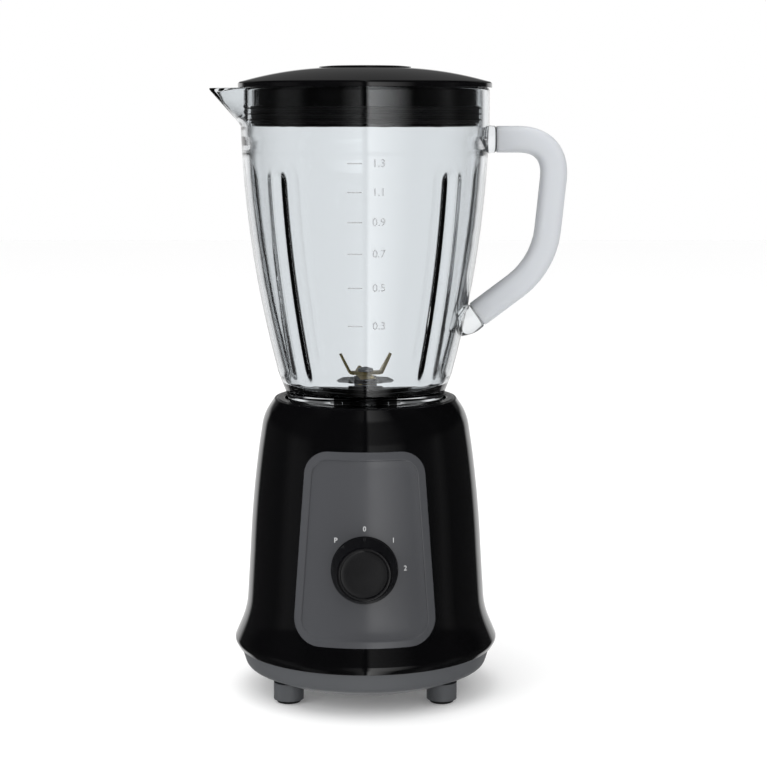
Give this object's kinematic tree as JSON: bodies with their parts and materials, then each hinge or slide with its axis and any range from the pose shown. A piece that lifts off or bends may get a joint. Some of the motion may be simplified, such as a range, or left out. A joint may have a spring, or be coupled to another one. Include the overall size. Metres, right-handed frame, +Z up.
{
  "type": "countertop blender",
  "caption": "Countertop blender: round motor base with a rotary knob on a raised panel, ribbed glass jug with a loop handle and spout, blade unit, domed lid and measuring cap.",
  "frame": {"origin": "the point on the resting plane straight below the motor's axis, midway between the four feet", "axes": "+Z up along the motor and jug axis, front with the control panel towards -Y, jug handle towards +X and spout towards -X"},
  "size_m": [0.2034, 0.1614, 0.3585],
  "materials": {
    "gloss_black_shell": "moulded ABS, high gloss black",
    "satin_black_plastic": "moulded nylon, satin black",
    "grey_panel_plastic": "moulded ABS, satin dark grey",
    "grey_pan_plastic": "moulded polypropylene, fine matte grey",
    "black_rubber": "soft moulded rubber",
    "clear_glass": "pressed clear soda-lime glass",
    "satin_glass": "pressed glass with an etched satin surface",
    "blade_steel": "stamped stainless steel, ground edges",
    "bright_steel": "turned or zinc-plated steel",
    "lamination_steel": "stacked and varnished electrical steel",
    "copper_wire": "enamelled copper winding",
    "bronze": "sintered bronze",
    "carbon": "pressed carbon graphite",
    "white_plastic": "moulded nylon, natural white",
    "seal_silicone": "moulded silicone"
  },
  "bodies": {
    "root": {"upper_housing": "gloss_black_shell", "jug_seat": "satin_black_plastic", "base_pan": "grey_pan_plastic", "foot_pads": "black_rubber", "pan_screws": "bright_steel", "control_panel": "grey_panel_plastic", "switch_nut": "bright_steel", "rotary_switch": "white_plastic", "upper_bracket": "bright_steel", "lower_bracket": "bright_steel", "upper_bearing": "bronze", "lower_bearing": "bronze", "motor_screws": "bright_steel", "motor_mounts": "black_rubber", "mount_screws": "bright_steel", "motor_stator": "lamination_steel", "field_windings": "copper_wire", "brush_holders": "bronze", "carbon_brushes": "carbon", "brush_springs": "bright_steel", "suppression_capacitor": "white_plastic", "cord_gland": "satin_black_plastic", "gland_nut": "satin_black_plastic"},
    "rotor": {"motor_shaft": "bright_steel", "armature_core": "lamination_steel", "armature_windings": "copper_wire", "commutator": "copper_wire", "cooling_fan": "white_plastic", "drive_coupling": "satin_black_plastic"},
    "jug": {"glass_jug": "clear_glass", "jug_handle": "satin_glass", "blade_hub": "satin_black_plastic", "jug_gasket": "seal_silicone", "hub_nut": "satin_black_plastic", "lower_bush": "bronze", "upper_bush": "bronze", "shaft_seal": "seal_silicone"},
    "blades": {"blade_shaft": "bright_steel", "upper_blade": "blade_steel", "lower_blade": "blade_steel", "blade_washer": "bright_steel", "blade_nut": "bright_steel", "jug_coupling": "satin_black_plastic"},
    "lid": {"lid_cover": "gloss_black_shell", "lid_seal": "seal_silicone"},
    "cap": {"measuring_cap": "gloss_black_shell"},
    "knob": {"control_knob": "satin_black_plastic", "switch_shaft": "white_plastic"}
  },
  "joints": [
    {"name": "jug_lift", "type": "slide", "parent": "root", "child": "jug", "axis": [0, 0, 1], "range_m": [0, 0.12]},
    {"name": "lid_lift", "type": "slide", "parent": "jug", "child": "lid", "axis": [0, 0, 1], "range_m": [0, 0.08]},
    {"name": "cap_lift", "type": "slide", "parent": "lid", "child": "cap", "axis": [0, 0, 1], "range_m": [0, 0.06]},
    {"name": "motor_spin", "type": "hinge", "parent": "root", "child": "rotor", "pos_m": [0, 0, 0.09], "axis": [0, 0, 1], "continuous": true},
    {"name": "blade_spin", "type": "hinge", "parent": "jug", "child": "blades", "pos_m": [0, 0, 0.175], "axis": [0, 0, 1], "continuous": true},
    {"name": "knob_turn", "type": "hinge", "parent": "root", "child": "knob", "pos_m": [0, -0.0683, 0.084], "axis": [0, 0.9981, -0.062], "range_deg": [-45, 90]}
  ],
  "couplings": [
    {"joint": "blade_spin", "follows": "motor_spin", "ratio": 1}
  ]
}
